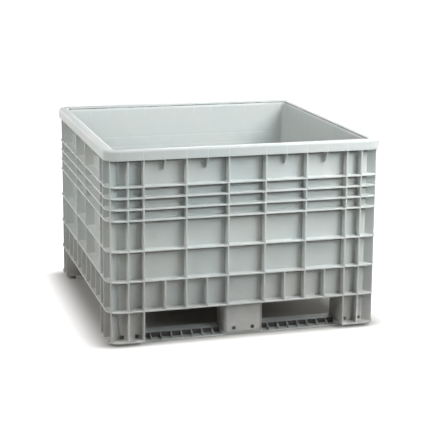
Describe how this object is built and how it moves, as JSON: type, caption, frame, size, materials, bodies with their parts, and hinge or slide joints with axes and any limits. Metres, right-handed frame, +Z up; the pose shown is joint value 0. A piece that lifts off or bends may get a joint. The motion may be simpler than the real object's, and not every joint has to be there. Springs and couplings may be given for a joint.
{
  "type": "plastic bulk container",
  "caption": "Square rigid bulk container for harvested crops, with ribbed walls, a hollow rim, feet that lift forks pass between, and a separate runner under the feet at each end.",
  "frame": {"origin": "middle of the container on the ground, below the centre of the floor", "axes": "+Z up, +X to the right along the front face with the runner's ramps, front face towards -Y"},
  "size_m": [1.165, 1.165, 0.807],
  "materials": {
    "tub_plastic": "satin, moulded",
    "runner_plastic": "satin, moulded"
  },
  "bodies": {
    "root": {"tub": "tub_plastic", "front_runner": "runner_plastic", "rear_runner": "runner_plastic"}
  },
  "joints": []
}
